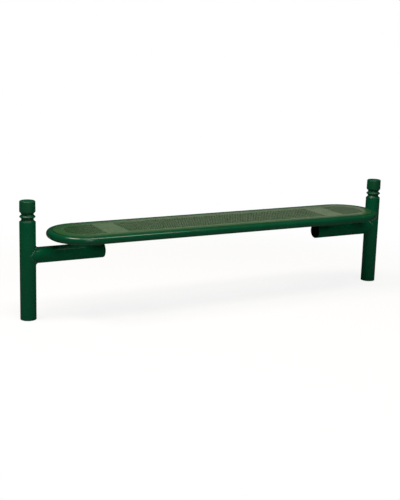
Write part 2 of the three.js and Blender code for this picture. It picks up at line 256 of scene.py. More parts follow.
def powder_coat(name, dark, light, roughness, specular, recess=None):
    """Baked powder paint: orange peel, faint drifts of colour, and a few pale specks of dust.

    A recess colour, if given, is painted shade on walls that stand upright in the part, such as the walls of
    holes.
    """
    material, tree, shader = new_material(name)
    drift = spread(tree, noise(tree, scale=14.0, detail=3.0))
    colour = mixed(tree, drift, dark, light)
    fleck = ranged(tree, noise(tree, scale=900.0, detail=1.0), (0.72, 0.8), (0.0, 1.0))
    colour = mixed(tree, fleck, colour, tuple(c * 1.3 + 0.004 for c in light))
    # painted shade: walls that stand upright in the part take the darker recess colour
    if recess:
        colour = mixed(tree, flatness(tree), recess, colour)
    tree.links.new(colour, shader.inputs["Base Color"])
    tree.links.new(spread(tree, noise(tree, scale=60.0, detail=4.0), roughness), shader.inputs["Roughness"])
    shader.inputs["Specular IOR Level"].default_value = specular
    peel = noise(tree, scale=420.0, detail=1.5)
    swell = noise(tree, scale=45.0, detail=2.0)
    bumped(tree, shader, [(swell, 0.4 * MM, 0.08), (peel, 0.05 * MM, 0.2)])
    return material


def bare_steel(name):
    """Machined stainless steel with fine turning marks and a little dullness."""
    material, tree, shader = new_material(name)
    grain = noise(tree, scale=700.0, detail=3.0, stretch=(1.0, 1.0, 6.0))
    tree.links.new(mixed(tree, spread(tree, grain), (0.46, 0.47, 0.47), (0.62, 0.63, 0.62)),
                   shader.inputs["Base Color"])
    dullness = noise(tree, scale=300.0, detail=2.0)
    tree.links.new(spread(tree, dullness, (0.28, 0.45)), shader.inputs["Roughness"])
    shader.inputs["Metallic"].default_value = 1.0
    bumped(tree, shader, [(grain, 0.03 * MM, 0.4)])
    return material


def moulded_plastic(name):
    """Black moulded plastic with a fine matt grain."""
    material, tree, shader = new_material(name)
    tone = spread(tree, noise(tree, scale=40.0, detail=3.0))
    tree.links.new(mixed(tree, tone, (0.0006, 0.0006, 0.0006), (0.0016, 0.0016, 0.0015)),
                   shader.inputs["Base Color"])
    grain = noise(tree, scale=1800.0, detail=1.0)
    tree.links.new(spread(tree, grain, (0.55, 0.7)), shader.inputs["Roughness"])
    shader.inputs["Specular IOR Level"].default_value = 0.04
    bumped(tree, shader, [(grain, 0.03 * MM, 0.5)])
    return material


FRAME_PAINT = powder_coat("frame_paint", (0.0006, 0.061, 0.025), (0.001, 0.069, 0.029), (0.2, 0.28), 0.13)
ARM_PAINT = powder_coat("arm_paint", (0.0006, 0.061, 0.025), (0.001, 0.069, 0.029), (0.22, 0.3), 0.08)
RIM_PAINT = powder_coat("rim_paint", (0.0004, 0.054, 0.021), (0.0007, 0.061, 0.025), (0.15, 0.2), 0.33)
WELD_PAINT = powder_coat("weld_paint", (0.0008, 0.061, 0.025), (0.0012, 0.069, 0.029), (0.14, 0.2), 0.55)
FINIAL_PAINT = powder_coat("finial_paint", (0.0008, 0.056, 0.0225), (0.0012, 0.063, 0.026), (0.33, 0.4), 0.27)
# the panel's recess colour is painted shade on the walls of its holes
PANEL_PAINT = powder_coat("panel_paint", (0.011, 0.071, 0.0165), (0.0155, 0.084, 0.021), (0.3, 0.4), 0.5,
                          recess=(0.002, 0.036, 0.01))
STEEL = bare_steel("steel")
PLASTIC = moulded_plastic("black_plastic")


# ---- meshes: a shape is a pair of vertices and faces -----------------------

def make_piece(name, shape, material, node=None, smooth_angle=SMOOTH_ANGLE):
    """A piece that rides on the one body, and stands for a CAD node if one is named."""
    vertices, faces = shape
    mesh = bpy.data.meshes.new(name)
    mesh.from_pydata([tuple(v) for v in vertices], [], faces)
    work = bmesh.new()
    work.from_mesh(mesh)
    bmesh.ops.remove_doubles(work, verts=work.verts, dist=1e-6)
    bmesh.ops.recalc_face_normals(work, faces=work.faces)
    work.to_mesh(mesh)
    work.free()
    mesh.materials.append(material)
    shade_by_angle(mesh, smooth_angle)
    piece = bpy.data.objects.new(name, mesh)
    bpy.context.scene.collection.objects.link(piece)
    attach(piece, "root")
    if node:
        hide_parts(node)
    return piece


def shade_by_angle(mesh, degrees):
    mesh.polygons.foreach_set("use_smooth", [True] * len(mesh.polygons))
    mesh.set_sharp_from_angle(angle=math.radians(degrees))


def full_turn(count):
    """Evenly spaced angles round a circle."""
    return [2 * math.pi * i / count for i in range(count)]


def arc(centre, radius, start, end, steps):
    """Points of an arc, in degrees, as pairs."""
    for angle in np.radians(np.linspace(start, end, steps + 1)):
        yield (centre[0] + radius * math.cos(angle), centre[1] + radius * math.sin(angle))


def rounded_rectangle(half_x, half_y, corner, steps):
    """A rounded rectangle about the origin, as a loop of (x, y) points."""
    points = []
    for sx, sy, start in ((1, 1, 0), (-1, 1, 90), (-1, -1, 180), (1, -1, 270)):
        centre = (sx * (half_x - corner), sy * (half_y - corner))
        points += list(arc(centre, corner, start, start + 90, steps))
    return points


def add_row(vertices, rows, points):
    """Adds points to the vertices, and their numbers to the rows."""
    start = len(vertices)
    vertices.extend(points)
    rows.append(list(range(start, len(vertices))))


def bridged(rows, closed=False):
    """Quads between loops of vertex numbers. Corners that coincide give triangles."""
    faces = []
    pairs = list(zip(rows, rows[1:]))
    if closed:
        pairs.append((rows[-1], rows[0]))
    for low, high in pairs:
        for i in range(len(low)):
            j = (i + 1) % len(low)
            corners = [low[i], low[j], high[j], high[i]]
            face = [c for k, c in enumerate(corners) if c != corners[k - 1]]
            if len(face) > 2:
                faces.append(face)
    return faces


def joined(shapes):
    """Several shapes as one."""
    vertices, faces = [], []
    for more_vertices, more_faces in shapes:
        start = len(vertices)
        vertices += more_vertices
        faces += [[start + c for c in face] for face in more_faces]
    return vertices, faces


def turned(profile, centre, sides=ROUND_SIDES, closed=False):
    """A solid of revolution about a vertical axis.

    The profile is (radius, height) points. It starts and ends on the axis, or is a closed loop.
    """
    vertices, rows = [], []
    for radius, height in profile:
        if radius == 0.0:
            rows.append([len(vertices)] * sides)
            vertices.append((centre.x, centre.y, height))
            continue
        add_row(vertices, rows, [(centre.x + radius * math.cos(t), centre.y + radius * math.sin(t), height)
                                 for t in full_turn(sides)])
    return vertices, bridged(rows, closed)


def eased_plate(flat, flat_faces, holes, ring, outline_at, edge, low, high):
    """A plate from the points and faces of its flat side, its holes' loops and its outer ring.

    outline_at(inset) gives the outer ring's points again, for the edge's rounding.
    """
    count = len(flat)
    vertices = [(x, y, high) for x, y in flat] + [(x, y, low) for x, y in flat]
    faces = flat_faces + [[c + count for c in reversed(face)] for face in flat_faces]
    for hole in holes:
        faces += bridged([hole, [c + count for c in hole]])
    rings = [ring]
    slight = edge * 0.3
    edge_rows = ((slight, high - slight), (0.0, high - edge), (0.0, low + edge), (slight, low + slight))
    for inset, height in edge_rows:
        add_row(vertices, rings, [(x, y, height) for x, y in outline_at(inset)])
    rings.append([c + count for c in ring])
    return vertices, faces + bridged(rings)


# ---- posts and finials ----------------------------------------------------

def make_post(name, side):
    """A tube, with its outer edges rounded above and below."""
    inner = POST_RADIUS - POST_WALL
    profile = [(inner, CUT_EDGE / 2), (inner + CUT_EDGE / 2, 0.0)]
    profile += list(arc((POST_RADIUS - CUT_EDGE, CUT_EDGE), CUT_EDGE, -90, 0, 5))
    profile += list(arc((POST_RADIUS - POST_TOP_EDGE, POST_TOP - POST_TOP_EDGE), POST_TOP_EDGE, 0, 90, 6))
    profile += [(inner + CUT_EDGE / 2, POST_TOP), (inner, POST_TOP - CUT_EDGE / 2)]
    shape = turned(profile, Vector((side * POST_X, POST_LINE, 0.0)), closed=True)
    make_piece(f"{name}_post_tube", shape, FRAME_PAINT, f"{name}_post")


def finial_profile():
    """From the foot of the spigot to the middle of the cap: two V grooves round a bead."""
    foot, top = finial_low.z, finial_high.z
    spigot = POST_RADIUS - POST_WALL - SPIGOT_CLEARANCE
    low_neck, high_neck = NECK_HEIGHTS
    bead = (low_neck + high_neck) / 2
    cap_edge_radius = CAP_RADIUS - CAP_TAPER
    profile = [(0.0, foot), (spigot - 2 * MM, foot), (spigot, foot + 4 * MM),
               (spigot, POST_TOP - 0.8 * MM), (spigot - 0.6 * MM, POST_TOP + 0.4 * MM)]
    profile += list(arc((NECK_RADIUS + NECK_FILLET, low_neck), NECK_FILLET, 230, 130, 6))
    profile += list(arc((CAP_RADIUS - BEAD_INSET - BEAD_ROUNDING, bead), BEAD_ROUNDING, -60, 60, 8))
    profile += list(arc((NECK_RADIUS + NECK_FILLET, high_neck), NECK_FILLET, 230, 130, 6))
    profile += list(arc((CAP_RADIUS - CAP_LIP, CAP_BOTTOM + CAP_LIP), CAP_LIP, -60, 0, 4))
    profile += list(arc((cap_edge_radius - CAP_EDGE, top - CAP_EDGE), CAP_EDGE, 0, 90, 10))
    profile += [(cap_edge_radius / 2, top), (0.0, top)]
    return profile


def make_finial(name, side):
    shape = turned(finial_profile(), Vector((side * POST_X, POST_LINE, 0.0)))
    make_piece(f"{name}_finial_casting", shape, FINIAL_PAINT, f"{name}_finial")


def make_finial_screw(name):
    """A screw through the back of the post, its domed head with a round recess for the driver."""
    low, high = node_box(f"{name}_finial_screw")
    axis = (low + high) / 2
    head = (high.x - low.x) / 2
    seat = POST_LINE + POST_RADIUS + 0.2 * MM
    rim = seat + 0.8 * MM
    profile = [(0.0, low.y), (SCREW_SHANK, low.y), (SCREW_SHANK, seat), (head, seat)]
    profile += [(head * math.cos(t), rim + (high.y - rim) * math.sin(t)) for t in np.linspace(0.0, 1.05, 7)]
    profile += [(SCREW_RECESS, high.y - 0.2 * MM), (SCREW_RECESS * 0.9, high.y - 1.8 * MM),
                (0.0, high.y - 2.1 * MM)]
    vertices, faces = turned(profile, Vector((0.0, 0.0, 0.0)), 36)
    vertices = [(axis.x + x, z, axis.z + y) for x, y, z in vertices]
    make_piece(f"{name}_finial_screw_body", (vertices, faces), STEEL, f"{name}_finial_screw")


# ---- arms -----------------------------------------------------------------

def post_reach(y):
    """From the post's axis to its surface along X, at a distance y from the posts' line."""
    return math.sqrt(max(POST_RADIUS ** 2 - y ** 2, 0.0))


def make_arm(name, side):
    """A tube coped to the post at one end and cut square at the other."""
    end = POST_X - ARM_END
    inner = ARM_RADIUS - ARM_WALL
    rings = [(ARM_RADIUS, share, 0.0) for share in (0.0, 0.15, 0.4, 0.7)]
    rings += [(ARM_RADIUS, 1.0, CUT_EDGE), (ARM_RADIUS - CUT_EDGE / 3, 1.0, CUT_EDGE / 3),
              (ARM_RADIUS - CUT_EDGE, 1.0, 0.0), (inner, 1.0, 0.0), (inner, 0.0, 0.0)]
    vertices, rows = [], []
    for radius, share, short in rings:
        points = []
        for angle in full_turn(ROUND_SIDES):
            y = radius * math.sin(angle)
            reach = post_reach(y) * (1 - share) + end * share - short
            points.append((side * (POST_X - reach), POST_LINE + y, ARM_HEIGHT + radius * math.cos(angle)))
        add_row(vertices, rows, points)
    shape = (vertices, bridged(rows, closed=True))
    make_piece(f"{name}_arm_tube", shape, ARM_PAINT, f"{name}_arm")


def make_arm_plug(name, side):
    """A domed head that covers the tube's end, and a hollow ribbed stem inside it."""
    head = ARM_RADIUS - 0.2 * MM
    stem = ARM_RADIUS - ARM_WALL - 0.5 * MM
    groove = stem - PLUG_RIB
    tip = ARM_END - PLUG_END
    shoulder = tip * 0.35
    profile = [(0.0, -PLUG_WALL), (stem - PLUG_WALL, -PLUG_WALL), (stem - PLUG_WALL, -PLUG_STEM),
               (groove, -PLUG_STEM)]
    for rib in range(3):
        foot = -PLUG_STEM + (3 + 6 * rib) * MM
        profile += [(groove, foot), (stem, foot + PLUG_RIB), (groove, foot + 3 * PLUG_RIB)]
    profile += [(groove, 0.3 * MM), (head - 0.4 * MM, 0.3 * MM), (head, 0.8 * MM), (head, shoulder)]
    profile += list(arc((head - (tip - shoulder), shoulder), tip - shoulder, 10, 80, 6))
    profile += [(head * 0.6, tip * 0.97), (head * 0.3, tip), (0.0, tip)]
    vertices, faces = turned(profile, Vector((0.0, 0.0, 0.0)))
    vertices = [(side * (ARM_END - z), POST_LINE + x, ARM_HEIGHT + y) for x, y, z in vertices]
    make_piece(f"{name}_arm_plug_body", (vertices, faces), PLASTIC, f"{name}_arm_plug")


def saddle_weld(side, upper):
    """One half of the fillet round the joint of an arm and its post, as a swept closed section."""
    steps, across = 220, 8
    half_sweep = math.radians(89.4)
    base = Vector((side * POST_X, POST_LINE, ARM_HEIGHT))
    toward_tip = Vector((-side, 0.0, 0.0))
    vertices, rows = [], []
    for i in range(steps + 1):
        angle = half_sweep * (2 * i / steps - 1) + (0.0 if upper else math.pi)
        y, z = ARM_RADIUS * math.sin(angle), ARM_RADIUS * math.cos(angle)
        reach = post_reach(y)
        root = Vector((-side * reach, y, z))
        post_normal = Vector((root.x, y, 0.0)).normalized()
        arm_normal = Vector((0.0, y, z)).normalized()
        along = Vector((side * y * z / max(reach, 1e-6), z, -y)).normalized()
        on_arm = arm_normal.cross(along)
        on_arm *= math.copysign(1.0, on_arm.dot(toward_tip))
        on_post = post_normal.cross(along)
        on_post *= math.copysign(1.0, on_post.dot(arm_normal) - 0.01 * on_post.dot(toward_tip))
        ripple = 1.0 + 0.06 * math.sin(i * 1.35) + 0.03 * math.sin(i * 0.37)
        leg = ARM_WELD_LEG * ripple * (0.6 + 0.4 * abs(math.cos(angle)))
        arm_toe, post_toe = root + leg * on_arm, root + leg * on_post
        sunk = Vector((arm_toe.y, arm_toe.z)).normalized() * (ARM_RADIUS - WELD_SINK)
        arm_toe = Vector((arm_toe.x, *sunk))
        sunk = Vector((post_toe.x, post_toe.y)).normalized() * (POST_RADIUS - WELD_SINK)
        post_toe = Vector((*sunk, post_toe.z))
        out = (post_normal + arm_normal).normalized()
        section = []
        for share in np.linspace(0.0, 1.0, across + 1):
            bulge = ARM_WELD_BULGE * ripple * 4 * share * (1 - share)
            section.append(base + arm_toe.lerp(post_toe, share) + out * bulge)
        section.append(base + root - out * 1.5 * MM)
        add_row(vertices, rows, section)
    return vertices, bridged(rows) + [rows[0][::-1], rows[-1]]


def make_arm_weld(name, side):
    shape = joined([saddle_weld(side, upper) for upper in (True, False)])
    make_piece(f"{name}_arm_weld", shape, WELD_PAINT, smooth_angle=WELD_SMOOTH_ANGLE)


# ---- seat rim -------------------------------------------------------------

def rim_tube(path, tangents):
    """The rim's tube along a level path, its wall closed at both ends."""
    vertices, rows_out, rows_in = [], [], []
    for point, tangent in zip(path, tangents):
        sideways = Vector((tangent.y, -tangent.x, 0.0))
        for radius, rows in ((RIM_RADIUS, rows_out), (RIM_RADIUS - RIM_WALL, rows_in)):
            add_row(vertices, rows, [point + (sideways * math.cos(t) + UP * math.sin(t)) * radius
                                     for t in full_turn(RIM_SIDES)])
    return vertices, bridged(rows_out + rows_in[::-1], closed=True)


def make_rim_corner(name, side_x, side_y):
    """Half of an end of the rim: a short straight run from the middle, then a quarter bend."""
    straight = RIM_Y - BEND_RADIUS
    path = [Vector((side_x * RIM_X, side_y * RIM_JOINT, RIM_HEIGHT))]
    tangents = [Vector((0.0, side_y, 0.0))]
    for turn in np.linspace(0.0, math.pi / 2, BEND_STEPS + 1):
        x = RIM_X - BEND_RADIUS * (1 - math.cos(turn))
        y = straight + BEND_RADIUS * math.sin(turn)
        path.append(Vector((side_x * x, side_y * y, RIM_HEIGHT)))
        tangents.append(Vector((-side_x * math.sin(turn), side_y * math.cos(turn), 0.0)))
    make_piece(f"{name}_tube", rim_tube(path, tangents), RIM_PAINT, name)


def make_rim_rail(name, side_y):
    path = [Vector((x, side_y * RIM_Y, RIM_HEIGHT)) for x in np.linspace(-RAIL_END, RAIL_END, 9)]
    tangents = [Vector((1.0, 0.0, 0.0))] * len(path)
    make_piece(f"{name}_tube", rim_tube(path, tangents), RIM_PAINT, name)


def bead_ring(point, tangent, height):
    """A low weld bead round the rim at a butt joint, a little wavy."""
    sideways = Vector((tangent.y, -tangent.x, 0.0))
    section = [(math.cos(t), math.sin(t)) for t in np.linspace(0, math.pi, 7)]
    section += [(-1.0, -1.2), (1.0, -1.2)]
    vertices, rows = [], []
    for angle in full_turn(2 * RIM_SIDES):
        outward = sideways * math.cos(angle) + UP * math.sin(angle)
        sway = 1.0 + 0.12 * math.sin(9 * angle) + 0.08 * math.sin(23 * angle + 1.0)
        add_row(vertices, rows, [point + outward * (RIM_RADIUS + height * up * sway)
                                 + tangent * BEAD_HALF_WIDTH * across * sway for across, up in section])
    return vertices, bridged(rows, closed=True)


def make_rim_welds():
    """Beads where the rails meet the bends, and ground flush where the bends meet at the seat's ends."""
    rings = [bead_ring(Vector((sx * RAIL_END, sy * RIM_Y, RIM_HEIGHT)), Vector((1, 0, 0)), JOINT_BEAD)
             for sx in (-1, 1) for sy in (-1, 1)]
    rings += [bead_ring(Vector((sx * RIM_X, 0.0, RIM_HEIGHT)), Vector((0, 1, 0)), GROUND_BEAD)
              for sx in (-1, 1)]
    make_piece("rim_welds", joined(rings), RIM_PAINT, smooth_angle=WELD_SMOOTH_ANGLE)


# ---- perforated panel -----------------------------------------------------

def panel_outline(inset, steps=16):
    """The panel's outline, inset, as a loop of (x, y) points with round corners."""
    return rounded_rectangle(panel_high.x - inset, panel_high.y - inset, PANEL_CORNER - inset, steps)


def in_perforated_field(x, y):
    """True where a hole fits: inside the plain border and off the solid bands."""
    keep = HOLE_DIAMETER / 2
    across = abs(x)
    if SOLID_BAND[0] - keep < across < SOLID_BAND[1] + keep:
        return False
    corner = PANEL_CORNER - PLAIN_BORDER - keep
    dx = max(across - (panel_high.x - PLAIN_BORDER - keep - corner), 0.0)
    dy = max(abs(y) - (panel_high.y - PLAIN_BORDER - keep - corner), 0.0)
    return math.hypot(dx, dy) <= corner


def perforated_cells():
    """Cells of a staggered grid that hold a hole, as (column in half pitches, row)."""
    rows = int(panel_high.y / ROW_RISE) + 1
    columns = int(2 * panel_high.x / HOLE_PITCH) + 2
    return {(column, row) for row in range(-rows, rows + 1) for column in range(-columns, columns + 1)
            if (column + row) % 2 == 0 and in_perforated_field(column * HOLE_PITCH / 2, row * ROW_RISE)}


# A cell's border, one point for each side of its hole, in half pitches and half rows from its middle
CELL_BORDER = ((1, 0), (1, 1), (0, 1), (-1, 1), (-1, 0), (-1, -1), (0, -1), (1, -1))


def perforated_faces(cells, flat):
    """The quads between each cell's border and its hole, whose points are added to flat.

    Returns the quads, the holes' loops, and the edges that only one cell has.
    """
    point_of = {}

    def grid_point(column, half_row):
        key = (column, half_row)
        if key not in point_of:
            point_of[key] = len(flat)
            flat.append((column * HOLE_PITCH / 2, half_row * ROW_RISE / 2))
        return point_of[key]

    faces, holes, uses = [], [], Counter()
    for column, row in sorted(cells):
        border = [grid_point(column + dx, 2 * row + dy) for dx, dy in CELL_BORDER]
        add_row(flat, holes, [(column * HOLE_PITCH / 2 + HOLE_DIAMETER / 2 * math.cos(t),
                               row * ROW_RISE + HOLE_DIAMETER / 2 * math.sin(t))
                              for t in full_turn(HOLE_SIDES)])
        hole = holes[-1]
        for k in range(HOLE_SIDES):
            j = (k + 1) % HOLE_SIDES
            uses[tuple(sorted((border[k], border[j])))] += 1
            faces.append([border[k], border[j], hole[j], hole[k]])
    return faces, holes, [edge for edge, count in uses.items() if count == 1]


def holds_cell(cells, x, y):
    """True where a point is inside a cell with a hole."""
    row = round(y / ROW_RISE)
    column = round((x / (HOLE_PITCH / 2) - row % 2) / 2) * 2 + row % 2
    return (column, row) in cells


def plain_faces(cells, field_edges, outline, flat):
    """The triangles of the parts without holes, up to the outline, and the outline's point numbers."""
    field_points = sorted({point for edge in field_edges for point in edge})
    place_of = {point: i for i, point in enumerate(field_points)}
    first = len(field_points)
    coordinates = [Vector(flat[point]) for point in field_points] + [Vector(point) for point in outline]
    edges = [(place_of[a], place_of[b]) for a, b in field_edges]
    loop = list(range(first, len(coordinates)))
    points, _, triangles, origins, _, _ = delaunay_2d_cdt(coordinates, edges, [loop], 1, 1e-7)
    number, ring = [], {}
    for point, origin in zip(points, origins):
        if origin and origin[0] < first:
            number.append(field_points[origin[0]])
            continue
        if origin:
            ring[origin[0]] = len(flat)
        number.append(len(flat))
        flat.append((point.x, point.y))
    faces = []
    for triangle in triangles:
        centre = sum((points[corner] for corner in triangle), Vector((0.0, 0.0))) / 3
        if not holds_cell(cells, centre.x, centre.y):
            faces.append([number[corner] for corner in triangle])
    return faces, [ring[i] for i in sorted(ring)]


def make_panel():
    """A sheet with real round holes. Each hole's cell is eight quads, and the plain parts are
    triangles that share the outer cells' corners."""
    cells = perforated_cells()
    flat = []
    quads, holes, field_edges = perforated_faces(cells, flat)
    triangles, ring = plain_faces(cells, field_edges, panel_outline(PANEL_EDGE), flat)
    shape = eased_plate(flat, quads + triangles, holes, ring, panel_outline, PANEL_EDGE,
                        panel_low.z, panel_high.z)
    make_piece("perforated_panel", shape, PANEL_PAINT, "seat_panel", 40.0)


# ---- members and supports under the seat ----------------------------------

def bolt_places(name):
    return [middle(f"{name}_bolt_{number}") for number in range(1, 5)]


def make_mount_plate(name):
    """A plate with eased outer edges and four bolt holes."""
    centre = middle(f"{name}_mount_plate")
    half = (plate_high - plate_low) / 2
    places = bolt_places(name)

    def outline_at(inset):
        loop = rounded_rectangle(half.x - inset, half.y - inset, PLATE_CORNER - inset, 8)
        return [(centre.x + x, centre.y + y) for x, y in loop]

    flat, rings = [], []
    add_row(flat, rings, [Vector(point) for point in outline_at(PLATE_EDGE)])
    for place in places:
        add_row(flat, rings, [Vector((place.x + BOLT_HOLE / 2 * math.cos(t),
                                      place.y + BOLT_HOLE / 2 * math.sin(t)))
                              for t in full_turn(DRILL_SIDES)])
    points, _, triangles, origins, _, _ = delaunay_2d_cdt(flat, [], rings, 1, 1e-7)
    faces = []
    for triangle in triangles:
        x, y = sum((points[corner] for corner in triangle), Vector((0.0, 0.0))) / 3
        if all(math.hypot(x - place.x, y - place.y) > BOLT_HOLE / 2 for place in places):
            faces.append([origins[corner][0] for corner in triangle])
    shape = eased_plate(flat, faces, rings[1:], rings[0], outline_at, PLATE_EDGE, plate_low.z, plate_high.z)
    make_piece(f"{name}_mount_plate_body", shape, FRAME_PAINT, f"{name}_mount_plate")


def make_stub(name):
    """A square tube, coped to the arm below and cut square under the plate."""
    centre = middle(f"{name}_support_stub")
    top = stub_high.z
    coped = None
    rings = ((0.0, coped), (0.0, top - CUT_EDGE), (CUT_EDGE, top), (STUB_WALL, top), (STUB_WALL, coped))
    vertices, rows = [], []
    for inset, height in rings:
        points = []
        half, corner = STUB_HALF - inset, max(STUB_CORNER - inset, STUB_CORNER * 0.3)
        for x, y in rounded_rectangle(half, half, corner, 6):
            on_arm = ARM_HEIGHT + math.sqrt((ARM_RADIUS + COPE_GAP) ** 2 - y * y)
            points.append((centre.x + x, centre.y + y, on_arm if height is coped else height))
        add_row(vertices, rows, points)
    shape = (vertices, bridged(rows, closed=True))
    make_piece(f"{name}_support_stub_tube", shape, FRAME_PAINT, f"{name}_support_stub")


def cope_end(z):
    """How far a member under the seat reaches towards a rail at height z."""
    return RIM_Y - math.sqrt(max((RIM_RADIUS + COPE_GAP) ** 2 - (z - RIM_HEIGHT) ** 2, 0.0))


def member_between_rails(loop, shares):
    """Sweeps a closed (x, z) loop from rail to rail, coped to both.

    The loop runs out along one side of the wall and back along the other, point for point.
    """
    vertices, rows = [], []
    for share in shares:
        add_row(vertices, rows, [(x, share * cope_end(z), z) for x, z in loop])
    faces = bridged(rows)
    last = len(loop) - 1
    for row, step in ((rows[0], 1), (rows[-1], -1)):
        faces += [[row[i], row[i + 1], row[last - 1 - i], row[last - i]][::step] for i in range(last // 2)]
    return vertices, faces


def channel_section(inset):
    """The channel's outline from one flange's top to the other's, as (x, z), inset from its outside."""
    half = (channel_high.x - channel_low.x) / 2 - inset
    floor_z = channel_low.z + inset
    corner = CHANNEL_BEND - inset
    down = [(half, z) for z in np.linspace(channel_high.z, floor_z + corner, 12)]
    right = down + list(arc((half - corner, floor_z + corner), corner, 0, -90, 6))[1:]
    return right + [(-x, z) for x, z in reversed(right)]


def make_cross_channel(name):
    """A channel bent from sheet, its ends coped to the rails and its web drilled for the bolts."""
    centre = middle(f"{name}_cross_channel").x
    loop = channel_section(0.0) + channel_section(CHANNEL_WALL)[::-1]
    shape = member_between_rails([(centre + x, z) for x, z in loop], (-1.0, -0.5, 0.0, 0.5, 1.0))
    piece = make_piece(f"{name}_cross_channel_body", shape, FRAME_PAINT,
                       f"{name}_cross_channel")
    drill(piece, bolt_places(name), BOLT_HOLE / 2, channel_low.z - 2 * MM, channel_low.z + 2 * CHANNEL_WALL)


def drill(piece, places, radius, low, high):
    """Cuts round upright holes through a piece."""
    work = bmesh.new()
    for place in places:
        turn = Matrix.Translation((place.x, place.y, (low + high) / 2))
        bmesh.ops.create_cone(work, cap_ends=True, segments=DRILL_SIDES, radius1=radius, radius2=radius,
                              depth=high - low, matrix=turn)
    mesh = bpy.data.meshes.new("drill")
    work.to_mesh(mesh)
    work.free()
    cutter = bpy.data.objects.new("drill", mesh)
    bpy.context.scene.collection.objects.link(cutter)
    modifier = piece.modifiers.new("holes", "BOOLEAN")
    modifier.operation = "DIFFERENCE"
    modifier.solver = "EXACT"
    modifier.object = cutter
    bpy.context.view_layer.update()
    drilled = bpy.data.meshes.new_from_object(piece.evaluated_get(bpy.context.evaluated_depsgraph_get()))
    piece.modifiers.clear()
    piece.data = drilled
    shade_by_angle(drilled, SMOOTH_ANGLE)
    bpy.data.objects.remove(cutter)


def make_stiffener():
    """A flat bar on edge across the middle of the seat, its ends coped to the rails."""
    low, high = node_box("centre_stiffener")
    edge = STIFFENER_EDGE
    side = [(edge, low.z), *((0.0, z) for z in np.linspace(low.z + edge, high.z - edge, 10)), (edge, high.z)]
    loop = [(high.x - inset, z) for inset, z in side] + [(low.x + inset, z) for inset, z in reversed(side)]
    shape = member_between_rails(loop, (-1.0, 0.0, 1.0))
    make_piece("centre_stiffener_bar", shape, FRAME_PAINT, "centre_stiffener")


# ---- fasteners ------------------------------------------------------------

def hexagonal(profile, flats, centre):
    """Like turned(), for (radius, height, True where a hexagon limits the radius) points.

    The hexagon's corners lie on the X axis. Returns the vertices and their rows.
    """
    vertices, rows = [], []
    for radius, height, limited in profile:
        points = []
        for angle in full_turn(SMALL_SIDES):
            from_corner = (angle + math.pi / 6) % (math.pi / 3) - math.pi / 6
            hexagon = flats / 2 / math.cos(math.pi / 6 - abs(from_corner))
            reach = min(radius, hexagon) if limited else radius
            points.append((centre.x + reach * math.cos(angle), centre.y + reach * math.sin(angle), height))
        add_row(vertices, rows, points)
    return vertices, rows


def make_bolt(name, number):
    """A hexagon head bolt from below: chamfered head, shank, and thread past the nut."""
    low, high = node_box(f"{name}_bolt_{number}")
    flats, corners = high.y - low.y, (high.x - low.x) / 2
    face = flats / 2 * 0.94
    head_top = node_box(f"{name}_washer_{number}")[0].z - 0.3 * MM
    shank = BOLT_DIAMETER / 2
    height = node_box(f"{name}_weld_nut_{number}")[0].z
    profile = [(face * 0.2, low.z, False), (face, low.z, False), (corners, low.z + 1.2 * MM, True),
               (corners, head_top, True), (shank, head_top, False), (shank, height, False)]
    while height + THREAD_PITCH < high.z - 1.2 * MM:
        profile.append((shank - THREAD_DEPTH, height + THREAD_PITCH / 2, False))
        height += THREAD_PITCH
        profile.append((shank, height, False))
    profile += [(shank - BOLT_TIP, high.z, False), (shank * 0.2, high.z, False)]
    vertices, rows = hexagonal(profile, flats, (low + high) / 2)
    shape = (vertices, bridged(rows) + [rows[0][::-1], rows[-1]])
    make_piece(f"{name}_bolt_{number}_body", shape, STEEL, f"{name}_bolt_{number}")


def make_washer(name, number):
    """A flat ring with all four edges chamfered."""
    low, high = node_box(f"{name}_washer_{number}")
    outer, inner, edge = (high.x - low.x) / 2, WASHER_HOLE / 2, WASHER_EDGE
    profile = [(inner, low.z + edge), (inner + edge, low.z), (outer - edge, low.z), (outer, low.z + edge),
               (outer, high.z - edge), (outer - edge, high.z), (inner + edge, high.z), (inner, high.z - edge)]
    shape = turned(profile, (low + high) / 2, SMALL_SIDES, closed=True)
    make_piece(f"{name}_washer_{number}_body", shape, STEEL, f"{name}_washer_{number}")


def make_weld_nut(name, number):
    """A nut with chamfered corners above and below."""
    low, high = node_box(f"{name}_weld_nut_{number}")
    flats, corners = high.y - low.y, (high.x - low.x) / 2
    face = flats / 2 * 0.95
    bore, chamfer = BOLT_DIAMETER / 2 + 0.3 * MM, NUT_BORE_CHAMFER
    profile = [(bore, low.z + chamfer, False), (bore + chamfer, low.z, False), (face, low.z, False),
               (corners, low.z + 1.0 * MM, True), (corners, high.z - 1.0 * MM, True), (face, high.z, False),
               (bore + chamfer, high.z, False), (bore, high.z - chamfer, False)]
    vertices, rows = hexagonal(profile, flats, (low + high) / 2)
    shape = (vertices, bridged(rows, closed=True))
    make_piece(f"{name}_weld_nut_{number}_body", shape, STEEL, f"{name}_weld_nut_{number}")


# ---- fillets and stitches -------------------------------------------------

def fillet(path, leg, closed=False):
    """A fillet weld along (root, direction on one part, direction on the other) points."""
    across = 6
    vertices, rows = [], []
    for i, (root, on_first, on_second) in enumerate(path):
        ripple = 1.0 + 0.07 * math.sin(i * 1.7) + 0.04 * math.sin(i * 0.6 + 1.0)
        from_end = min(i, len(path) - 1 - i)
        thinning = 1.0 if closed else min(1.0, 0.35 + 0.65 * from_end / 3)
        reach = leg * ripple * thinning
        first, second = on_first.normalized(), on_second.normalized()
        out = (first + second).normalized()
        section = []
        for share in np.linspace(0.0, 1.0, across + 1):
            bulge = 0.22 * reach * 4 * share * (1 - share)
            section.append(root + first * reach * (1 - share) + second * reach * share + out * bulge)
        section.append(root - out * 0.6 * MM)
        add_row(vertices, rows, section)
    faces = bridged(rows, closed)
    if not closed:
        faces += [rows[0][::-1], rows[-1]]
    return vertices, faces


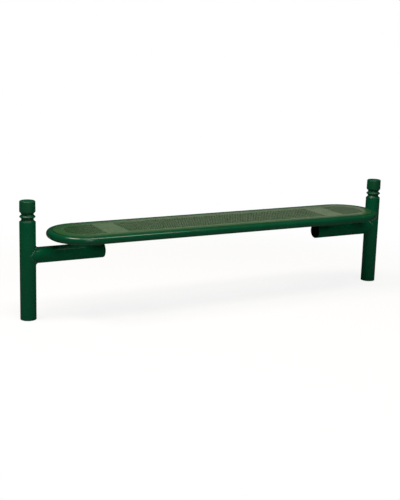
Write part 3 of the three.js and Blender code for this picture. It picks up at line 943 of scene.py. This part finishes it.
def make_stub_weld(name):
    """Fillets round the stub, on the arm and under the plate."""
    centre = middle(f"{name}_support_stub")
    loop = rounded_rectangle(STUB_HALF, STUB_HALF, STUB_CORNER, 5)
    dense = []
    for (x, y), (next_x, next_y) in zip(loop, loop[1:] + loop[:1]):
        count = max(1, int(math.hypot(next_x - x, next_y - y) / (2.2 * MM)))
        dense += [(x + (next_x - x) * k / count, y + (next_y - y) * k / count) for k in range(count)]
    flat_half = STUB_HALF - STUB_CORNER
    on_plate, on_arm = [], []
    for x, y in dense:
        nearest_x = max(min(x, flat_half), -flat_half)
        nearest_y = max(min(y, flat_half), -flat_half)
        outward = Vector((x - nearest_x, y - nearest_y, 0.0)).normalized()
        on_plate.append((Vector((centre.x + x, centre.y + y, stub_high.z)), outward, -UP))
        height = math.sqrt(ARM_RADIUS ** 2 - y * y)
        normal = Vector((0.0, y, height)).normalized()
        along = outward - normal * outward.dot(normal)
        on_arm.append((Vector((centre.x + x, centre.y + y, ARM_HEIGHT + height)), along, UP))
    shape = joined([fillet(path, STUB_WELD_LEG, closed=True) for path in (on_plate, on_arm)])
    make_piece(f"{name}_stub_weld", shape, WELD_PAINT, smooth_angle=WELD_SMOOTH_ANGLE)


def make_panel_seam():
    """A thin seal bead all round, under the panel's edge, in the corner with the rim."""
    loop = panel_outline(0.0, 24)
    path = []
    for (x, y), before, after in zip(loop, loop[-1:] + loop, loop[1:] + loop[:1]):
        outward = Vector((after[1] - before[1], before[0] - after[0], 0.0)).normalized()
        root = Vector((x, y, panel_low.z)) + outward * PANEL_GAP
        path.append((root, -outward, -outward * PANEL_RISE - UP * PANEL_REACH))
    shape = fillet(path, SEAM_LEG, closed=True)
    make_piece("panel_seam", shape, RIM_PAINT, smooth_angle=WELD_SMOOTH_ANGLE)


def member_welds(x, facing):
    """Fillets on one side of a member: up each rail, and three stitches under the panel."""
    heights = np.linspace(channel_low.z + 4 * MM, channel_high.z - 2 * MM, 16)
    along_x = Vector((facing, 0, 0))
    welds = [fillet([(Vector((x, sy * cope_end(z), z)), Vector((0, -sy, 0)), along_x) for z in heights],
                    MEMBER_WELD_LEG) for sy in (-1.0, 1.0)]
    for start in (-118, -12, 94):
        run = [(Vector((x, (start + 2 * k) * MM, panel_low.z)), along_x, -UP) for k in range(13)]
        welds.append(fillet(run, PANEL_STITCH_LEG))
    return welds


def rail_stitches(members):
    """Short fillets between the panel and both rails, spaced along the seat but clear of the members."""
    spacing, step, clearance = 135 * MM, 2 * MM, 30 * MM
    welds = []
    for sy in (-1.0, 1.0):
        down_rail = Vector((0.0, -sy * PANEL_RISE, -PANEL_REACH))
        for place in range(-5, 6):
            x = place * spacing
            if any(low - clearance < x < high + clearance for low, high in members):
                continue
            run = [(Vector((x + k * step, sy * (RIM_Y - PANEL_REACH), panel_low.z)), Vector((0, -sy, 0)),
                    down_rail) for k in range(-7, 8)]
            welds.append(fillet(run, RAIL_STITCH_LEG))
    return welds


def make_under_seat_welds():
    """Fillets that hold the channels, the stiffener and the panel, seen from below."""
    boxes = [node_box(node) for node in ("centre_stiffener", "left_cross_channel", "right_cross_channel")]
    members = [(low.x, high.x) for low, high in boxes]
    welds = []
    for low_x, high_x in members:
        welds += member_welds(low_x, -1.0) + member_welds(high_x, 1.0)
    shape = joined(welds + rail_stitches(members))
    make_piece("under_seat_welds", shape, WELD_PAINT, smooth_angle=WELD_SMOOTH_ANGLE)


# ---- stage ----------------------------------------------------------------

def blended(tree, factor, first, second):
    """A shader between two."""
    node = tree.nodes.new("ShaderNodeMixShader")
    for source, socket in zip((factor, first, second), node.inputs):
        tree.links.new(source, socket)
    return node.outputs[0]


def floor_material():
    """White paper that washes out to the backdrop's white, and lights the bench from below less than
    it shows, as a floor outside the studio lights would."""
    material, tree, shader = new_material("floor")
    shader.inputs["Roughness"].default_value = 0.95
    shader.inputs["Specular IOR Level"].default_value = 0.0
    paper = tree.nodes.new("ShaderNodeBsdfDiffuse")
    paper.inputs["Color"].default_value = (0.9, 0.9, 0.9, 1.0)
    white = tree.nodes.new("ShaderNodeEmission")
    white.inputs["Strength"].default_value = BACKDROP_LIGHT
    place = tree.nodes.new("ShaderNodeTexCoord")
    from_middle = tree.nodes.new("ShaderNodeVectorMath")
    from_middle.operation = "LENGTH"
    tree.links.new(place.outputs["Object"], from_middle.inputs[0])
    wash = ranged(tree, from_middle.outputs["Value"], (0.9, 2.2), (0.86, 1.0), "SMOOTHSTEP")
    seen = blended(tree, wash, paper.outputs[0], white.outputs[0])
    ray = tree.nodes.new("ShaderNodeLightPath")
    in_reflections, for_diffuse = (0.12, 0.12, 0.12), (0.46, 0.46, 0.46)
    tone = mixed(tree, ray.outputs["Is Diffuse Ray"], in_reflections, for_diffuse)
    tree.links.new(tone, shader.inputs["Base Color"])
    both = blended(tree, ray.outputs["Is Camera Ray"], shader.outputs[0], seen)
    output = next(n for n in tree.nodes if n.type == "OUTPUT_MATERIAL")
    tree.links.new(both, output.inputs["Surface"])
    return material


def make_floor():
    """A plain sheet just under the posts' feet."""
    half = 40.0
    mesh = bpy.data.meshes.new("floor")
    corners = [(-half, -half, 0), (half, -half, 0), (half, half, 0), (-half, half, 0)]
    mesh.from_pydata(corners, [], [(0, 1, 2, 3)])
    mesh.materials.append(floor_material())
    floor = bpy.data.objects.new("floor", mesh)
    floor.location.z = -0.5 * MM
    bpy.context.scene.collection.objects.link(floor)


def make_world():
    """White where the camera sees it, and a dim room, brighter overhead, for all other rays."""
    world = bpy.data.worlds.new("studio")
    bpy.context.scene.world = world
    world.use_nodes = True
    tree = world.node_tree
    background = next(n for n in tree.nodes if n.type == "BACKGROUND")
    background.inputs["Color"].default_value = (1.0, 1.0, 1.0, 1.0)
    place = tree.nodes.new("ShaderNodeTexCoord")
    split = tree.nodes.new("ShaderNodeSeparateXYZ")
    tree.links.new(place.outputs["Generated"], split.inputs[0])
    room = ranged(tree, split.outputs["Z"], (0.25, 1.0), (HORIZON_LIGHT, CEILING_LIGHT))
    ray = tree.nodes.new("ShaderNodeLightPath")
    strength = ranged(tree, ray.outputs["Is Camera Ray"], (0.0, 1.0), (room, BACKDROP_LIGHT))
    tree.links.new(strength, background.inputs["Strength"])


def make_light(name, place, target, size, power, colour=(1.0, 1.0, 1.0), only=None):
    """A soft box aimed at a target. It lights everything, or only the named piece."""
    data = bpy.data.lights.new(name, "AREA")
    data.shape = "RECTANGLE"
    data.size, data.size_y = size
    data.energy = power
    data.color = colour
    light = bpy.data.objects.new(name, data)
    light.location = place
    aim = Vector(target) - Vector(place)
    light.rotation_euler = aim.to_track_quat("-Z", "Y").to_euler()
    light.visible_camera = False
    bpy.context.scene.collection.objects.link(light)
    if only:
        lit = bpy.data.collections.new(f"lit_by_{name}")
        lit.objects.link(bpy.data.objects[only])
        light.light_linking.receiver_collection = lit


def make_lights():
    """Two wide boxes overhead for the rim's long highlight, one in front, and one far behind, low
    down, whose grazing reflection gives the panel its sheen."""
    make_light("key", place=(0.1, -1.9, 4.7), target=(0.1, -0.6, 0.4), size=(3.6, 1.2), power=150.0,
               colour=(1.0, 0.93, 0.82))
    make_light("left", place=(-2.8, -0.4, 4.7), target=(-1.4, -0.1, 0.4), size=(2.4, 1.5), power=190.0,
               colour=(1.0, 0.9, 0.78))
    make_light("front", place=(-1.2, -4.6, 2.0), target=(0.0, 0.0, 0.3), size=(1.6, 1.0), power=40.0)
    make_light("back_card", place=(4.4, 5.4, 2.1), target=(0.7, 0.0, 0.4), size=(5.8, 1.1), power=23.0,
               colour=(1.0, 0.93, 0.75), only="perforated_panel")


def make_camera():
    """A long lens from the front left, a little above the seat."""
    yaw, pitch, roll = (math.radians(angle) for angle in (28.11, 12.93, 1.61))
    place = (-2.4518, -4.3595, 1.4138)
    ahead = Vector((math.sin(yaw) * math.cos(pitch), math.cos(yaw) * math.cos(pitch), -math.sin(pitch)))
    level = Vector((math.cos(yaw), -math.sin(yaw), 0.0))
    above = level.cross(ahead)
    right = level * math.cos(roll) + above * math.sin(roll)
    up = above * math.cos(roll) - level * math.sin(roll)
    data = bpy.data.cameras.new("camera")
    data.sensor_width = 36.0
    data.lens = 73.1
    data.clip_end = 200.0
    camera = bpy.data.objects.new("camera", data)
    turn = Matrix((right, up, -ahead)).transposed().to_4x4()
    camera.matrix_world = Matrix.Translation(place) @ turn
    bpy.context.scene.collection.objects.link(camera)
    bpy.context.scene.camera = camera


bpy.context.scene.view_settings.view_transform = "Standard"
make_camera()
make_world()
make_floor()

for name, side in SIDES:
    make_post(name, side)
    make_finial(name, side)
    make_finial_screw(name)
    make_arm(name, side)
    make_arm_plug(name, side)
    make_arm_weld(name, side)
    make_rim_corner(f"rim_{name}_front_bend", side, -1.0)
    make_rim_corner(f"rim_{name}_back_bend", side, 1.0)
make_rim_rail("rim_front_rail", -1.0)
make_rim_rail("rim_back_rail", 1.0)
make_rim_welds()
make_panel()
make_panel_seam()
make_stiffener()
make_under_seat_welds()
for name, side in SIDES:
    make_cross_channel(name)
    make_mount_plate(name)
    make_stub(name)
    make_stub_weld(name)
    for number in range(1, 5):
        make_bolt(name, number)
        make_washer(name, number)
        make_weld_nut(name, number)
make_lights()

bpy.context.view_layer.update()
